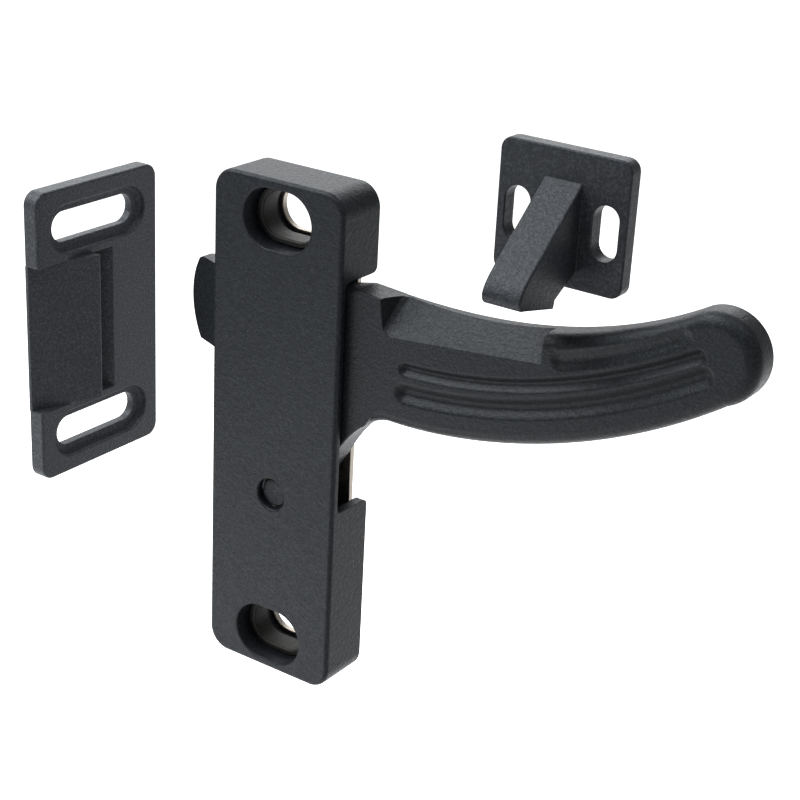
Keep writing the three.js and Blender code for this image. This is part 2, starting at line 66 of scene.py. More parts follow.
def box_mm(node):
    """Lowest and highest corner of a CAD node, in millimetres."""
    low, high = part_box(node)
    return low / MM, high / MM


CASE_LOW, CASE_HIGH = box_mm("housing")
PLATE_LOW, PLATE_HIGH = box_mm("back_plate")
LEVER_LOW, LEVER_HIGH = box_mm("lever")
STRIKE_LOW, STRIKE_HIGH = box_mm("strike_plate")
CATCH_LOW, CATCH_HIGH = box_mm("catch_block")
PIVOT = next(Vector(j["pos_m"]) / MM for j in frame["joints"] if j["name"] == "lever_pivot")

FRONT = CASE_LOW.y
CASE_WIDTH = CASE_HIGH.x - CASE_LOW.x
CASE_HEIGHT = CASE_HIGH.z - CASE_LOW.z
FRONT_WALL = 2.0
SIDE_WALL = 2.4
INNER_FRONT = FRONT + FRONT_WALL
SLOT_HEIGHT = 55.2
EDGE_STEPS = 6
OVERCUT = 2
WELD = 0.004


# ------------------------------------------------------------------ outlines

def arc(cx, cy, radius, start, end, steps):
    """Points of an arc from start to end, angles in turns."""
    points = []
    for i in range(steps + 1):
        angle = TAU * (start + (end - start) * i / steps)
        points.append((cx + radius * math.cos(angle), cy + radius * math.sin(angle)))
    return points


def bezier(p0, p1, p2, p3, steps):
    """Points of a cubic curve, without its first one."""
    points = []
    for i in range(1, steps + 1):
        t = i / steps
        a, b, c, d = (1 - t) ** 3, 3 * t * (1 - t) ** 2, 3 * t * t * (1 - t), t ** 3
        points.append(tuple(a * p0[k] + b * p1[k] + c * p2[k] + d * p3[k] for k in (0, 1)))
    return points


def quadratic(p0, p1, p2, steps):
    """Points of a quadratic curve, without its first one."""
    first = tuple(p0[k] + (p1[k] - p0[k]) * 2 / 3 for k in (0, 1))
    second = tuple(p2[k] + (p1[k] - p2[k]) * 2 / 3 for k in (0, 1))
    return bezier(p0, first, second, p2, steps)


def rounded_rect(width, height, radius, inset=0.0, steps=10):
    """A rectangle with round corners, all of it moved inwards by inset."""
    w, h, r = width / 2 - radius, height / 2 - radius, radius - inset
    corners = ((w, h, 0), (-w, h, 0.25), (-w, -h, 0.5), (w, -h, 0.75))
    points = []
    for cx, cy, start in corners:
        points += arc(cx, cy, r, start, start + 0.25, steps)
    return points


def slot_outline(length, width, inset=0.0, steps=28):
    """A slot with half-round ends, all of it moved inwards by inset."""
    radius = width / 2 - inset
    straight = (length - width) / 2
    right = arc(straight, 0, radius, -0.25, 0.25, steps)
    left = arc(-straight, 0, radius, 0.25, 0.75, steps)
    return right + left


def cleaned(points, closest=0.03):
    """The outline without points that fall on the one before them."""
    kept = []
    for point in points:
        if not kept or math.dist(point, kept[-1]) > closest:
            kept.append(point)
    if math.dist(kept[0], kept[-1]) < closest:
        kept.pop()
    return kept


def inset_outline(points, inset):
    """An anticlockwise outline moved inwards by inset along its corners' bisectors."""
    moved = []
    count = len(points)
    for i, point in enumerate(points):
        before = Vector(points[i - 1])
        after = Vector(points[(i + 1) % count])
        here = Vector(point)
        first = (here - before).normalized()
        second = (after - here).normalized()
        normal_a = Vector((-first.y, first.x))
        normal_b = Vector((-second.y, second.x))
        bisector = (normal_a + normal_b).normalized()
        stretch = max(bisector.dot(normal_a), 0.5)
        moved.append(tuple(here + bisector * (inset / stretch)))
    return moved


# ------------------------------------------------------------------ mesh making

def to_xz(u, v, depth):
    """A point of an outline in X and Z at a given Y."""
    return (u, depth, v)


def to_yz(u, v, depth):
    """A point of an outline in Y and Z at a given X."""
    return (depth, u, v)


def new_object(name, mesh):
    obj = bpy.data.objects.new(name, mesh)
    bpy.context.scene.collection.objects.link(obj)
    return obj


def loft(name, rings, place=(0, 0, 0)):
    """A closed mesh through rings of millimetre points, all with the same count."""
    work = bmesh.new()
    shift = Vector(place)
    layers = [[work.verts.new((Vector(p) + shift) * MM) for p in ring] for ring in rings]
    count = len(rings[0])
    for low, high in zip(layers, layers[1:]):
        for i in range(count):
            j = (i + 1) % count
            work.faces.new((low[i], low[j], high[j], high[i]))
    work.faces.new(layers[0])
    work.faces.new(list(reversed(layers[-1])))
    bmesh.ops.recalc_face_normals(work, faces=work.faces)
    mesh = bpy.data.meshes.new(name)
    work.to_mesh(mesh)
    work.free()
    return new_object(name, mesh)


def quarter_round():
    """Pairs of shares, 1 to 0 and 0 to 1, that step round a quarter of a circle."""
    angles = [0.25 * TAU * i / EDGE_STEPS for i in range(EDGE_STEPS + 1)]
    return [(1 - math.sin(angle), 1 - math.cos(angle)) for angle in angles]


def slab(name, outline_at, front, back, lift=to_xz, front_edge=0.0, back_edge=0.0,
         place=(0, 0, 0)):
    """A plate between two depths. outline_at(inset) gives its outline; the rims are rounded."""
    levels = [(0.0, front)]
    if front_edge:
        levels = [(front_edge * a, front + front_edge * b) for a, b in quarter_round()]
    if back_edge:
        levels += [(back_edge * b, back - back_edge * a) for a, b in quarter_round()]
    else:
        levels.append((0.0, back))
    rings = [[lift(u, v, depth) for u, v in outline_at(inset)] for inset, depth in levels]
    return loft(name, rings, place)


def fixed_outline(points):
    """An outline_at function for a free outline."""
    kept = cleaned(points)
    return lambda inset: inset_outline(kept, inset) if inset else kept


def cutter_slot(name, size, face, floor, lift=to_xz, rim=0.0, dish=0.0, place=(0, 0, 0)):
    """A slot-shaped cutter from above face down to floor, its rim flared and its foot dished."""
    outward = -1 if face < floor else 1
    levels = [(-rim, face + outward * OVERCUT)]
    levels += [(-rim * a, face - outward * rim * b) for a, b in quarter_round()]
    if dish:
        levels += [(dish * b, floor + outward * dish * a) for a, b in quarter_round()]
    else:
        levels.append((0.0, floor))
    rings = [[lift(u, v, d) for u, v in slot_outline(*size, inset)] for inset, d in levels]
    return loft(name, rings, place)


def box(name, x0, x1, y0, y1, z0, z1):
    """A rectangular cutter."""
    corners = [(x0, y0), (x1, y0), (x1, y1), (x0, y1)]
    return loft(name, [[(x, y, z) for x, y in corners] for z in (z0, z1)])


def turned(name, profile, place, steps=72):
    """A piece turned about the Y axis from (radius, y) pairs, its ends on the axis closed."""
    rings = []
    for radius, y in profile:
        rings.append([(radius * math.cos(TAU * i / steps), y, radius * math.sin(TAU * i / steps))
                      for i in range(steps)])
    return loft(name, rings, place)


def combine(target, others, operation):
    """Joins others to target or cuts them from it, and deletes them."""
    for other in others:
        step = target.modifiers.new("boolean", "BOOLEAN")
        step.operation = operation
        step.solver = "EXACT"
        step.object = other
        bpy.context.view_layer.update()
        graph = bpy.context.evaluated_depsgraph_get()
        mesh = bpy.data.meshes.new_from_object(target.evaluated_get(graph))
        target.modifiers.clear()
        target.data = mesh
        bpy.data.objects.remove(other)
    return target


def finish_mesh(obj, material, sharp_degrees=28.0):
    """Merges doubles, sets smooth shading with sharp edges, and adds weighted normals."""
    work = bmesh.new()
    work.from_mesh(obj.data)
    bmesh.ops.remove_doubles(work, verts=work.verts, dist=WELD * MM)
    bmesh.ops.dissolve_degenerate(work, edges=work.edges, dist=WELD * MM)
    work.to_mesh(obj.data)
    work.free()
    obj.data.shade_smooth()
    obj.data.set_sharp_from_angle(angle=math.radians(sharp_degrees))
    obj.data.materials.clear()
    obj.data.materials.append(material)
    weighted = obj.modifiers.new("weighted_normals", "WEIGHTED_NORMAL")
    weighted.keep_sharp = True
    return obj


def stands_for(obj, node, body):
    """Puts a finished piece in the place of its CAD node."""
    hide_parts(node)
    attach(obj, body)


# ------------------------------------------------------------------ materials

class Shader:
    """A material's node tree with short calls to add and join nodes."""

    def __init__(self, name):
        self.material = bpy.data.materials.new(name)
        self.material.use_nodes = True
        self.tree = self.material.node_tree
        self.surface = self.tree.nodes["Principled BSDF"]
        self.place = self.add("ShaderNodeTexCoord").outputs["Object"]

    def add(self, kind, **settings):
        node = self.tree.nodes.new(kind)
        for key, value in settings.items():
            setattr(node, key, value)
        return node

    def join(self, output, socket):
        self.tree.links.new(output, socket)

    def noise(self, scale, detail=3.0, roughness=0.5, stretch=None):
        """A noise texture in object space; scale is in cells per millimetre."""
        node = self.add("ShaderNodeTexNoise")
        node.inputs["Scale"].default_value = scale / MM
        node.inputs["Detail"].default_value = detail
        node.inputs["Roughness"].default_value = roughness
        source = self.place
        if stretch:
            mapping = self.add("ShaderNodeMapping")
            mapping.inputs["Scale"].default_value = stretch
            self.join(source, mapping.inputs["Vector"])
            source = mapping.outputs["Vector"]
        self.join(source, node.inputs["Vector"])
        return node.outputs["Fac"]

    def ramp(self, source, low, high, from_value=0.3, to_value=0.7):
        """Maps a 0 to 1 signal onto low to high."""
        node = self.add("ShaderNodeMapRange")
        node.inputs["From Min"].default_value = from_value
        node.inputs["From Max"].default_value = to_value
        node.inputs["To Min"].default_value = low
        node.inputs["To Max"].default_value = high
        self.join(source, node.inputs["Value"])
        return node.outputs["Result"]

    def mix(self, factor, first, second):
        """A colour between first and second; each is a colour or an output."""
        node = self.add("ShaderNodeMix", data_type="RGBA")
        self.join(factor, node.inputs["Factor"])
        for socket, value in ((node.inputs["A"], first), (node.inputs["B"], second)):
            self.put(value, socket)
        return node.outputs["Result"]

    def put(self, value, socket):
        """A colour or a number on a socket, or a link to it."""
        if isinstance(value, bpy.types.NodeSocket):
            self.join(value, socket)
        elif isinstance(value, tuple):
            socket.default_value = (*value, 1.0)
        else:
            socket.default_value = value

    def math(self, operation, first, second):
        node = self.add("ShaderNodeMath", operation=operation)
        self.put(first, node.inputs[0])
        self.put(second, node.inputs[1])
        return node.outputs["Value"]

    def bump(self, height, strength, distance, normal=None):
        """A bump of distance millimetres; normal is the one that it adds to."""
        node = self.add("ShaderNodeBump")
        node.inputs["Strength"].default_value = strength
        node.inputs["Distance"].default_value = distance * MM
        self.join(height, node.inputs["Height"])
        if normal is not None:
            self.join(normal, node.inputs["Normal"])
        return node.outputs["Normal"]

    def edges(self, radius):
        """1 on sharp corners and 0 on flats, from how far a rounded normal leaves the real one."""
        rounded = self.add("ShaderNodeBevel", samples=6)
        rounded.inputs["Radius"].default_value = radius * MM
        geometry = self.add("ShaderNodeNewGeometry")
        product = self.add("ShaderNodeVectorMath", operation="DOT_PRODUCT")
        self.join(rounded.outputs["Normal"], product.inputs[0])
        self.join(geometry.outputs["Normal"], product.inputs[1])
        return self.ramp(product.outputs["Value"], 1.0, 0.0, 0.75, 0.99), rounded.outputs["Normal"]


def scaled(colour, factor):
    return tuple(factor * channel for channel in colour)


COAT_METALLIC = 0.15
COAT_SPECULAR = 0.1
COAT_SPECULAR_TINT = (0.92, 0.96, 1.0, 1.0)
COAT_SPREAD = 0.07
# Radius of the corner mask that lightens the coat: rubbed paint on corners and a painted edge
# highlight.
EDGE_RUB_AND_HIGHLIGHT_RADIUS = 0.35


def powder_coat(name, base, light, roughness):
    """Charcoal powder coat: orange peel, fine grain, lighter on sharp corners as rubbed paint and
    as a painted edge highlight.
    """
    shader = Shader(name)
    cloud = shader.noise(0.05, 4.0, 0.6)
    grain = shader.noise(1.9, 3.0, 0.6)
    colour = shader.mix(shader.ramp(cloud, 0.0, 0.55), base, light)
    speck = shader.ramp(grain, 0.0, 0.7, 0.45, 0.7)
    colour = shader.mix(speck, colour, scaled(light, 2.4))
    # Sharp corners get a lighter colour, partly rubbed paint and partly a painted edge highlight,
    # broken up by noise.
    corners_rubbed_and_highlit, rounded = shader.edges(EDGE_RUB_AND_HIGHLIGHT_RADIUS)
    patchiness = shader.ramp(shader.noise(0.6, 3.0, 0.6), 0.15, 1.0, 0.35, 0.65)
    rubbed_and_highlit = shader.math("MULTIPLY", shader.math("MULTIPLY", corners_rubbed_and_highlit, patchiness), 0.5)
    colour = shader.mix(rubbed_and_highlit, colour, scaled(light, 3.2))
    shader.join(colour, shader.surface.inputs["Base Color"])
    dull = shader.noise(1.2, 3.0, 0.6)
    rough = shader.ramp(dull, roughness - COAT_SPREAD, roughness + COAT_SPREAD)
    shader.join(rough, shader.surface.inputs["Roughness"])
    shader.surface.inputs["Metallic"].default_value = COAT_METALLIC
    shader.surface.inputs["Specular IOR Level"].default_value = COAT_SPECULAR
    shader.surface.inputs["Specular Tint"].default_value = COAT_SPECULAR_TINT
    peel = shader.bump(shader.noise(0.8, 2.0, 0.45), 0.6, 0.14, rounded)
    fine = shader.bump(grain, 0.8, 0.15, peel)
    shader.join(fine, shader.surface.inputs["Normal"])
    return shader.material


STEEL_EDGE = 0.2


def bare_steel(name, base, light, roughness, stretch=(1.0, 1.0, 1.0)):
    """Bare metal with drawn or brushed lines and a few dull patches."""
    shader = Shader(name)
    lines = shader.noise(2.5, 4.0, 0.65, stretch)
    patches = shader.noise(0.12, 3.0, 0.6)
    colour = shader.mix(shader.ramp(lines, 0.0, 1.0), base, light)
    dull = shader.ramp(patches, 0.0, 0.3, 0.5, 0.75)
    colour = shader.mix(dull, colour, scaled(base, 0.6))
    shader.join(colour, shader.surface.inputs["Base Color"])
    rough = shader.ramp(lines, roughness - 0.08, roughness + 0.10)
    shader.join(rough, shader.surface.inputs["Roughness"])
    shader.surface.inputs["Metallic"].default_value = 1.0
    _, rounded = shader.edges(STEEL_EDGE)
    shader.join(shader.bump(lines, 0.25, 0.02, rounded), shader.surface.inputs["Normal"])
    return shader.material


def black_rubber():
    """Matt rubber with a fine moulded grain."""
    shader = Shader("rubber")
    grain = shader.noise(3.0, 3.0, 0.6)
    shade = shader.ramp(grain, 0.0, 1.0)
    colour = shader.mix(shade, (0.012, 0.012, 0.012), (0.03, 0.03, 0.03))
    shader.join(colour, shader.surface.inputs["Base Color"])
    shader.join(shader.ramp(grain, 0.78, 0.95), shader.surface.inputs["Roughness"])
    shader.join(shader.bump(grain, 0.4, 0.04), shader.surface.inputs["Normal"])
    return shader.material


# These four coats are copies of one charcoal powder coat. The strike and catch copies have a much
# lighter base colour: painted light, standing in for light these pieces don't get in this studio.
COAT = powder_coat("powder_coat", (0.0034, 0.0041, 0.0052), (0.0050, 0.0058, 0.0071), 0.45)
STRIKE_COAT_PAINTED_LIGHTER = powder_coat("strike_coat_painted_lighter", (0.0160, 0.0175, 0.0200), (0.0195, 0.0210, 0.0235), 0.45)
CATCH_COAT_PAINTED_LIGHTER = powder_coat("catch_coat_painted_lighter", (0.0080, 0.0090, 0.0105), (0.0105, 0.0115, 0.0133), 0.45)
LEVER_COAT = powder_coat("lever_coat", (0.0034, 0.0040, 0.0048), (0.0050, 0.0057, 0.0067), 0.42)
PLATE_STEEL = bare_steel("plate_steel", (0.20, 0.18, 0.155), (0.30, 0.27, 0.24), 0.42,
                         (0.15, 1.0, 1.0))
# The lining steel is coloured near black: partly the lining's own dark metal, partly painted shade
# of the deep slots it lines.
LINING_STEEL_PAINTED_DARK = bare_steel("lining_steel_painted_dark", (0.014, 0.015, 0.015), (0.042, 0.041, 0.039), 0.60,
                          (1.0, 0.2, 1.0))
PIN_STEEL = bare_steel("pin_steel", (0.24, 0.25, 0.26), (0.40, 0.41, 0.42), 0.38)
SPRING_STEEL = bare_steel("spring_steel", (0.28, 0.28, 0.29), (0.46, 0.46, 0.47), 0.3)
BRONZE = bare_steel("bronze", (0.36, 0.21, 0.08), (0.52, 0.32, 0.14), 0.42)
RUBBER = black_rubber()


# ------------------------------------------------------------------ latch case

CASE_CORNER = 5.75
CASE_FRONT_EDGE = 1.1
CASE_BACK_EDGE = 0.25
CAVITY_HEIGHT = 92.8
CAVITY_CORNER = 2.0
PLATE_SEAT_SIZE = (30.0, 124.6, 4.3)
PLATE_SEAT_FRONT = -1.8
OPENING_CORNER = 1.6
WINDOW_LOW, WINDOW_HIGH = -15.5, 43.8
WINDOW_FILLET = 2.0
WINDOW_BACK = 6.0
NOSE_SLOT_LOW, NOSE_SLOT_HIGH = 14.0, 45.0
NOSE_SLOT_BACK = -2.0
COUNTERBORE_SIZE, COUNTERBORE_DEPTH = (20.0, 14.7), 5.8
CASE_BORE_SIZE, CASE_BORE_START = (18.4, 13.1), 4.0
PIN_SEAT_RADIUS, PIN_SEAT_RIM = 4.1, 4.5
ANCHOR_X, ANCHOR_DROP = -8.85, 18
ANCHOR_BOSS_RADIUS, ANCHOR_HOLE_RADIUS = 2.9, 1.5
PLATE_CORNER = 4.0
PLATE_EDGE = 0.15
PLATE_SLOT_SIZE = (16.8, 11.2)
SCREW_X, SCREW_Z = 10.6, 48.7
SCREW_HOLE_RADIUS, COUNTERSINK_RADIUS, COUNTERSINK_DEPTH = 1.3, 2.4, 1.3
SPIGOT_HOLE_RADIUS = 2.7
LINING_FLANGE_SIZE, LINING_SLEEVE_SIZE = (19.4, 14.1), (17.8, 12.5)
LINING_BORE_SIZE = (16.4, 11.1)
LINING_FLANGE_THICKNESS = 0.8
LINING_EDGE = 0.15


def wall_opening(name, x0, x1, y0, y1, z0, z1):
    """A cutter through a side wall, with rounded corners."""
    place = (0, (y0 + y1) / 2, (z0 + z1) / 2)
    return slab(name, lambda inset: rounded_rect(y1 - y0, z1 - z0, OPENING_CORNER), x0, x1, to_yz,
                place=place)


def handle_window(x0, x1):
    """The handle's opening: inner corners rounded, outer corners at the back flared by fillets."""
    low, high, inner, outer = WINDOW_LOW, WINDOW_HIGH, OPENING_CORNER, WINDOW_FILLET
    points = arc(-outer, low - outer, outer, 0.25, 0.0, 10)
    points += [(WINDOW_BACK, low - outer), (WINDOW_BACK, high + outer)]
    points += arc(-outer, high + outer, outer, 0.0, -0.25, 10)
    points += arc(INNER_FRONT + inner, high - inner, inner, 0.25, 0.5, 8)
    points += arc(INNER_FRONT + inner, low + inner, inner, 0.5, 0.75, 8)
    return slab("window", fixed_outline(points), x0, x1, to_yz)


def make_housing():
    """The cast case, with rounded front edges, slots, openings and the pin's seat."""
    width, height = CASE_WIDTH, CASE_HEIGHT
    inside = width / 2 - SIDE_WALL - 1
    body = slab("case_casting", lambda inset: rounded_rect(width, height, CASE_CORNER, inset, 14),
                FRONT, 0.0, front_edge=CASE_FRONT_EDGE, back_edge=CASE_BACK_EDGE)
    hollow = rounded_rect(width - 2 * SIDE_WALL, CAVITY_HEIGHT, CAVITY_CORNER)
    seat = rounded_rect(*PLATE_SEAT_SIZE)
    cuts = [
        slab("cavity", lambda inset: hollow, INNER_FRONT, 3.0),
        slab("seat", lambda inset: seat, PLATE_SEAT_FRONT, 2.5),
        handle_window(inside, width),
        wall_opening("nose_slot", -width, -inside, INNER_FRONT, NOSE_SLOT_BACK,
                     NOSE_SLOT_LOW, NOSE_SLOT_HIGH),
    ]
    for z in (SLOT_HEIGHT, -SLOT_HEIGHT):
        cuts.append(cutter_slot("counterbore", COUNTERBORE_SIZE, FRONT, FRONT + COUNTERBORE_DEPTH,
                                rim=0.45, dish=0.35, place=(0, 0, z)))
        cuts.append(cutter_slot("bore", CASE_BORE_SIZE, FRONT + CASE_BORE_START, 2.0,
                                place=(0, 0, z)))
    hole, rim = PIN_SEAT_RADIUS, PIN_SEAT_RIM
    cuts.append(turned("pin_seat", [
        (rim, FRONT - 1), (rim, FRONT), (rim - 0.1, FRONT + 0.05), (hole, FRONT + 0.4),
        (hole, INNER_FRONT + 1)], (0, 0, PIVOT.z)))
    combine(body, cuts, "DIFFERENCE")
    anchor = (ANCHOR_X, 0, PIVOT.z - ANCHOR_DROP)
    radius = ANCHOR_BOSS_RADIUS
    boss = turned("boss", [(radius, INNER_FRONT - 0.5), (radius, -7.8), (2.6, -7.5)], anchor)
    combine(body, [boss], "UNION")
    hole = ANCHOR_HOLE_RADIUS
    combine(body, [turned("boss_hole", [(hole, INNER_FRONT), (hole, 0)], anchor)], "DIFFERENCE")
    finish_mesh(body, COAT)
    stands_for(body, "housing", "latch_case")


def make_back_plate():
    """The steel plate with its slots, countersinks and the pin's hole."""
    width, height = PLATE_HIGH.x - PLATE_LOW.x, PLATE_HIGH.z - PLATE_LOW.z
    front = PLATE_LOW.y
    body = slab("back_sheet", lambda inset: rounded_rect(width, height, PLATE_CORNER, inset),
                front, 0.0, front_edge=PLATE_EDGE, back_edge=PLATE_EDGE)
    cuts = []
    for z in (SLOT_HEIGHT, -SLOT_HEIGHT):
        cuts.append(cutter_slot("plate_slot", PLATE_SLOT_SIZE, front, 2.0, rim=0.2,
                                place=(0, 0, z)))
    hole, head = SCREW_HOLE_RADIUS, COUNTERSINK_RADIUS
    for z in (SCREW_Z, -SCREW_Z):
        for x in (-SCREW_X, SCREW_X):
            cuts.append(turned("countersink", [
                (hole, front - 1), (hole, -COUNTERSINK_DEPTH), (head, 0.0), (head, 1.0)],
                (x, 0, z), 40))
    spigot = SPIGOT_HOLE_RADIUS
    cuts.append(turned("spigot_hole", [(spigot, front - 1), (spigot, 1.0)], (0, 0, PIVOT.z), 48))
    combine(body, cuts, "DIFFERENCE")
    finish_mesh(body, PLATE_STEEL)
    stands_for(body, "back_plate", "latch_case")


def make_slot_insert(node, z):
    """The pressed steel lining of a mounting slot, with a rounded inner lip."""
    low, high = box_mm(node)
    flange_back = low.y + LINING_FLANGE_THICKNESS
    flange, sleeve = LINING_FLANGE_SIZE, LINING_SLEEVE_SIZE
    steps = [(low.y, flange, LINING_EDGE), (low.y + LINING_EDGE, flange, 0.0),
             (flange_back, flange, 0.0), (flange_back, sleeve, 0.0), (high.y, sleeve, 0.0)]
    rings = [[to_xz(u, v, depth) for u, v in slot_outline(*size, inset)]
             for depth, size, inset in steps]
    body = loft(node + "_lining", rings, (0, 0, z))
    bore = cutter_slot("lining_bore", LINING_BORE_SIZE, low.y, high.y + 1, rim=0.5, place=(0, 0, z))
    combine(body, [bore], "DIFFERENCE")
    # The lining's near-black colour is partly painted shade of the slot.
    finish_mesh(body, LINING_STEEL_PAINTED_DARK)
    stands_for(body, node, "latch_case")


def make_pivot_pin():
    """The pivot pin with a chamfered head end and a shallow dished face."""
    low, high = box_mm("pivot_pin")
    radius = (high.x - low.x) / 2
    front = low.y
    body = turned("pivot_shaft", [
        (0.3, front + 0.12), (1.2, front + 0.1), (2.4, front + 0.04), (radius - 0.5, front),
        (radius - 0.15, front + 0.15), (radius, front + 0.5), (radius, -2.8), (3.0, -2.8),
        (3.0, -2.0), (radius, -2.0), (radius, -1.8), (2.5, -1.8), (2.5, high.y)],
        (0, 0, PIVOT.z))
    finish_mesh(body, COAT)
    stands_for(body, "pivot_pin", "latch_case")


def make_spring():
    """The return spring as one round wire: moving leg, coil, fixed leg."""
    low, high = box_mm("torsion_spring")
    wire, radius, leg_start = 0.55, 7.0, 6
    front, back = low.y + wire, high.y - wire
    turns, per_turn = 3, 28
    points = [(-radius, front, high.z - PIVOT.z), (-radius, front, leg_start)]
    for i in range(turns * per_turn + 1):
        angle = TAU * (0.5 + i / per_turn)
        depth = front + (back - front) * i / (turns * per_turn)
        points.append((radius * math.cos(angle), depth, radius * math.sin(angle)))
    points += [(-radius, back, -leg_start), (-radius, back, low.z - PIVOT.z)]
    curve = bpy.data.curves.new("spring_wire", "CURVE")
    curve.dimensions = "3D"
    curve.bevel_depth = wire * MM
    curve.bevel_resolution = 4
    curve.use_fill_caps = True
    spline = curve.splines.new("POLY")
    spline.points.add(len(points) - 1)
    for target, (x, y, z) in zip(spline.points, points):
        target.co = (x * MM, y * MM, (z + PIVOT.z) * MM, 1.0)
    spline.use_smooth = True
    curve.materials.append(SPRING_STEEL)
    route = new_object("spring_route", curve)
    bpy.context.view_layer.update()
    mesh = bpy.data.meshes.new_from_object(route)
    bpy.data.objects.remove(route)
    wound = new_object("spring_wire", mesh)
    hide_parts("torsion_spring")
    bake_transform(wound)


# ------------------------------------------------------------------ lever

LEVER_FRONT, LEVER_BACK = LEVER_LOW.y, LEVER_HIGH.y
CORE_EDGE = 0.5
HANDLE_FRONT_EDGE, HANDLE_BACK_EDGE = 3.2, 0.8
SPRING_POCKET_RADIUS, SPRING_POCKET_FLOOR = 9.2, -7.0
BUSH_BORE_RADIUS = 5.5
SPRING_PIN_X, SPRING_PIN_RISE, SPRING_PIN_RADIUS = -8.85, 20, 1.5
LEG_SLOT_LEFT, LEG_SLOT_RIGHT, LEG_SLOT_RISE = -10.85, -5.4, 24.5
NOSE_WEDGE = [(-19.6, -10.7), (-34.6, -4.8), (-34.6, -12.5), (-19.6, -12.5)]
FACET_FRONT_Z, FACET_RISE, FACET_SLOPE = 48.9, 0.098, 1.25
UNDERSIDE = ((15.7, 12.5), (22.5, 26), (31, 27))
UNDERSIDE_STEPS = 14


def lever_core():
    """Outline of nose, hub and root, measured from the pivot."""
    tip_x, top, bottom, arc_radius, corner, inner = -33.6, 53.8, 31.9, 17.0, 2.0, -14.0
    centre = (tip_x + arc_radius, (top + bottom) / 2)
    low_angle = math.asin((centre[1] - bottom) / arc_radius) / TAU
    high_angle = math.asin((top - corner / 2 - centre[1]) / arc_radius) / TAU
    corner_x = centre[0] - arc_radius * math.cos(TAU * high_angle)
    hub = 10.6
    root_end, root_top = 30.3, 57.9
    points = [(inner, bottom)]
    points += quadratic((inner, bottom), (-14, 14), (-hub, 0), 10)
    points += arc(0, 0, hub, 0.5, 1.025, 40)
    last = points[-1]
    points += quadratic(last, (12.4, 8.5), (15.7, 12.5), 8)
    points += quadratic(*UNDERSIDE, UNDERSIDE_STEPS)[:9]
    points += [(root_end, 33), (root_end, root_top - 0.6), (21.5, root_top)]
    points += [(16, root_top - 1.2), (4, root_top - 1.5), (inner, top)]
    points.append((corner_x + 1.5 * corner, top))
    points += quadratic(points[-1], (corner_x + corner / 2, top), (corner_x, top - corner / 2), 6)
    points += arc(*centre, arc_radius, 0.5 - high_angle, 0.5 + low_angle, 24)
    return points


def lever_handle():
    """Outline of the curved handle, measured from the pivot."""
    tip_x, tip_z, radius = 110.9, 64.0, 10.3
    points = [(15, 34)] + quadratic(*UNDERSIDE, UNDERSIDE_STEPS)[5:]
    points += bezier((31, 27), (57.9, 26.5), (89.9, 36.3), (tip_x + 3.8, tip_z - 9.6), 36)
    points += arc(tip_x, tip_z, radius, -0.19, 0.32, 40)[1:]
    points += bezier(points[-1], (80.6, 57.4), (51.4, 56.0), (28, 57.5), 36)
    points += [(24, 57.3)]
    return points


def groove_cutter(name, curve, half_width, depth):
    """A long round-ended groove whose section is a smooth wave, so that its rims are soft."""
    steps, ends, levels = 48, 14, 12
    centre = [curve[0]] + bezier(*curve, steps)
    headings = []
    for i in range(steps + 1):
        along = Vector(centre[min(i + 1, steps)]) - Vector(centre[max(i - 1, 0)])
        headings.append(math.atan2(along.y, along.x) / TAU)

    def outline(half):
        sides = []
        for turn in (-0.25, 0.25):
            angles = [TAU * (heading + turn) for heading in headings]
            sides.append([(x + half * math.cos(angle), z + half * math.sin(angle))
                          for (x, z), angle in zip(centre, angles)])
        cap_end = arc(*centre[-1], half, headings[-1] - 0.25, headings[-1] + 0.25, ends)[1:-1]
        cap_start = arc(*centre[0], half, headings[0] + 0.25, headings[0] + 0.75, ends)[1:-1]
        return sides[0] + cap_end + sides[1][::-1] + cap_start

    rings = [[to_xz(u, v, LEVER_FRONT - 1) for u, v in outline(half_width)]]
    for i in range(levels):
        share = i / levels
        sunk = depth * 0.5 * (1 - math.cos(math.pi * share)) - 0.015
        narrowed = outline(half_width * (1 - share))
        rings.append([to_xz(u, v, LEVER_FRONT + sunk) for u, v in narrowed])
    return loft(name, rings, (0, 0, PIVOT.z))


def facet_cutter():
    """The sloping thumb facet, with a narrow ledge where it meets the root."""
    front, back, above = LEVER_FRONT - 1, LEVER_BACK + 1, 80.0
    start, end, skew, ledge = 31.3, 71.5, 2.0, 2.1

    def station(x, lean, lift, tilt=0.0):
        feet = []
        for y, shift in ((front, 0.0), (back, lean)):
            along, inward = x + shift - start, y - LEVER_FRONT
            z = FACET_FRONT_Z + FACET_RISE * along + FACET_SLOPE * inward + lift
            feet.append((x + shift, y, z))
        tops = [(x - tilt, y, above) for x, y, z in reversed(feet)]
        return feet + tops

    rings = [station(start - ledge, skew, 1.5, 4.0), station(start, skew, 0.0),
             station(end, 0.0, 0.0)]
    return loft("facet", rings, (0, 0, PIVOT.z))


